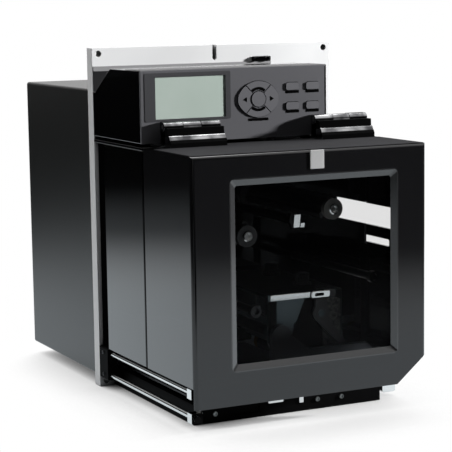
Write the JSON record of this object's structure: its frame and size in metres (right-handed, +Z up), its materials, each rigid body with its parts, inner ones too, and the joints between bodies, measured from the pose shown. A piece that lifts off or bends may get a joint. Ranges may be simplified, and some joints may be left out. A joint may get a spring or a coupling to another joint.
{
  "type": "thermal transfer print engine",
  "caption": "Upright plate-mounted thermal transfer printer with a lifting windowed door, tilting print head, ribbon spindles, media rollers and a keypad with display.",
  "frame": {"origin": "on the standing surface, under the middle of the part's box", "axes": "+X to the right and +Y to the back as seen from the front, +Z up"},
  "size_m": [0.236, 0.372, 0.3],
  "materials": {
    "plate_aluminium": "milled, bright",
    "charcoal_sheet": "satin powder coat",
    "zinc_sheet": "plated sheet",
    "black_shell": "fine texture, satin",
    "black_metal": "satin black paint",
    "panel_grey": "satin film",
    "key_grey": "satin",
    "display": "pale grey-green",
    "trim_grey": "satin",
    "clear_pane": "clear",
    "polished_steel": "polished",
    "head_sheet": "blue-grey plated sheet",
    "head_aluminium": "extruded",
    "dark_plastic": "moulded",
    "cap_grey": "moulded",
    "roller_rubber": "ground rubber",
    "bronze_bush": "sintered",
    "web_steel": "dark plated sheet",
    "board_green": "solder mask",
    "motor_case": "satin"
  },
  "bodies": {
    "chassis": {"main_plate": "plate_aluminium", "electronics_cover": "charcoal_sheet", "rear_panel": "zinc_sheet", "power_inlet": "dark_plastic", "port_connectors": "zinc_sheet", "logic_board": "board_green", "power_supply": "zinc_sheet", "motor_bracket": "zinc_sheet", "drive_motor": "motor_case", "drive_belt": "roller_rubber", "ribbon_motors": "motor_case", "bearings": "bronze_bush", "inner_liner": "black_shell", "left_side_panel": "black_shell", "right_side_panel": "black_shell", "top_panel": "black_shell", "control_housing": "black_shell", "panel_face": "panel_grey", "lcd_module": "display", "panel_board": "board_green", "hinge_brackets": "black_metal", "hinge_pins": "polished_steel", "lower_frame": "black_metal", "outer_bearing_plate": "black_metal", "web_guide": "web_steel", "peel_bar": "polished_steel", "ribbon_posts": "polished_steel", "head_pivot_shaft": "polished_steel", "guide_bracket": "black_metal", "guide_rods": "polished_steel"},
    "door": {"door_shell": "black_shell", "window_trim": "trim_grey", "door_window": "clear_pane", "hinge_leaves": "black_metal"},
    "print_head": {"head_bracket": "head_sheet", "printhead": "head_aluminium", "pressure_toggles": "dark_plastic"},
    "head_latch": {"head_latch": "dark_plastic"},
    "platen": {"platen_roller": "roller_rubber", "platen_shaft": "polished_steel"},
    "peel": {"peel_roller": "roller_rubber", "peel_shaft": "polished_steel"},
    "motor_rotor": {"motor_pulley": "polished_steel"},
    "pinch_arm": {"pinch_arm": "polished_steel"},
    "pinch_roller": {"pinch_roller": "roller_rubber"},
    "supply_spindle": {"supply_spindle": "dark_plastic", "supply_cap": "cap_grey"},
    "takeup_spindle": {"takeup_spindle": "dark_plastic", "takeup_cap": "cap_grey"},
    "media_guide": {"media_guide": "polished_steel"},
    "power_rocker": {"power_rocker": "dark_plastic"},
    "nav_up": {"nav_up": "key_grey"},
    "nav_down": {"nav_down": "key_grey"},
    "nav_left": {"nav_left": "key_grey"},
    "nav_right": {"nav_right": "key_grey"},
    "nav_select": {"nav_select": "key_grey"},
    "feed_button": {"feed_button": "key_grey"},
    "pause_button": {"pause_button": "key_grey"},
    "cancel_button": {"cancel_button": "key_grey"},
    "setup_button": {"setup_button": "key_grey"}
  },
  "joints": [
    {"name": "door_hinge", "type": "hinge", "parent": "chassis", "child": "door", "pos_m": [0, -0.0967, 0.2375], "axis": [-1, 0, 0], "range_deg": [0, 100]},
    {"name": "head_open", "type": "hinge", "parent": "chassis", "child": "print_head", "pos_m": [-0.014, -0.06, 0.062], "axis": [0, -1, 0], "range_deg": [0, 18]},
    {"name": "latch_turn", "type": "hinge", "parent": "print_head", "child": "head_latch", "pos_m": [0.0275, -0.128, 0.076], "axis": [0, 1, 0], "range_deg": [0, 60]},
    {"name": "platen_spin", "type": "hinge", "parent": "chassis", "child": "platen", "pos_m": [0.044, 0, 0.025], "axis": [0, 1, 0], "continuous": true},
    {"name": "peel_spin", "type": "hinge", "parent": "chassis", "child": "peel", "pos_m": [0.066, 0, 0.02], "axis": [0, 1, 0], "continuous": true},
    {"name": "motor_spin", "type": "hinge", "parent": "chassis", "child": "motor_rotor", "pos_m": [0.01, 0.036, 0.085], "axis": [0, 1, 0], "continuous": true},
    {"name": "pinch_open", "type": "hinge", "parent": "chassis", "child": "pinch_arm", "pos_m": [0.08587, -0.06, 0.0073], "axis": [0, 1, 0], "range_deg": [0, 20]},
    {"name": "pinch_spin", "type": "hinge", "parent": "pinch_arm", "child": "pinch_roller", "pos_m": [0.07587, -0.06, 0.0143], "axis": [0, 1, 0], "continuous": true},
    {"name": "supply_spin", "type": "hinge", "parent": "chassis", "child": "supply_spindle", "pos_m": [-0.045, -0.06, 0.148], "axis": [0, 1, 0], "continuous": true},
    {"name": "takeup_spin", "type": "hinge", "parent": "chassis", "child": "takeup_spindle", "pos_m": [0.036, -0.06, 0.165], "axis": [0, 1, 0], "continuous": true},
    {"name": "guide_slide", "type": "slide", "parent": "chassis", "child": "media_guide", "axis": [0, 1, 0], "range_m": [0, 0.12]},
    {"name": "power_rock", "type": "hinge", "parent": "chassis", "child": "power_rocker", "pos_m": [-0.078, 0.1778, 0.068], "axis": [1, 0, 0], "range_deg": [0, 10]},
    {"name": "nav_up_press", "type": "slide", "parent": "chassis", "child": "nav_up", "axis": [0, 1, 0], "range_m": [0, 0.0008], "stiffness_N_per_m": 300},
    {"name": "nav_down_press", "type": "slide", "parent": "chassis", "child": "nav_down", "axis": [0, 1, 0], "range_m": [0, 0.0008], "stiffness_N_per_m": 300},
    {"name": "nav_left_press", "type": "slide", "parent": "chassis", "child": "nav_left", "axis": [0, 1, 0], "range_m": [0, 0.0008], "stiffness_N_per_m": 300},
    {"name": "nav_right_press", "type": "slide", "parent": "chassis", "child": "nav_right", "axis": [0, 1, 0], "range_m": [0, 0.0008], "stiffness_N_per_m": 300},
    {"name": "nav_select_press", "type": "slide", "parent": "chassis", "child": "nav_select", "axis": [0, 1, 0], "range_m": [0, 0.0008], "stiffness_N_per_m": 300},
    {"name": "feed_button_press", "type": "slide", "parent": "chassis", "child": "feed_button", "axis": [0, 1, 0], "range_m": [0, 0.0008], "stiffness_N_per_m": 300},
    {"name": "pause_button_press", "type": "slide", "parent": "chassis", "child": "pause_button", "axis": [0, 1, 0], "range_m": [0, 0.0008], "stiffness_N_per_m": 300},
    {"name": "cancel_button_press", "type": "slide", "parent": "chassis", "child": "cancel_button", "axis": [0, 1, 0], "range_m": [0, 0.0008], "stiffness_N_per_m": 300},
    {"name": "setup_button_press", "type": "slide", "parent": "chassis", "child": "setup_button", "axis": [0, 1, 0], "range_m": [0, 0.0008], "stiffness_N_per_m": 300}
  ],
  "couplings": [
    {"joint": "latch_turn", "follows": "head_open", "ratio": 3.3333},
    {"joint": "peel_spin", "follows": "platen_spin", "ratio": 1.3333},
    {"joint": "motor_spin", "follows": "platen_spin", "ratio": 1.3333}
  ]
}
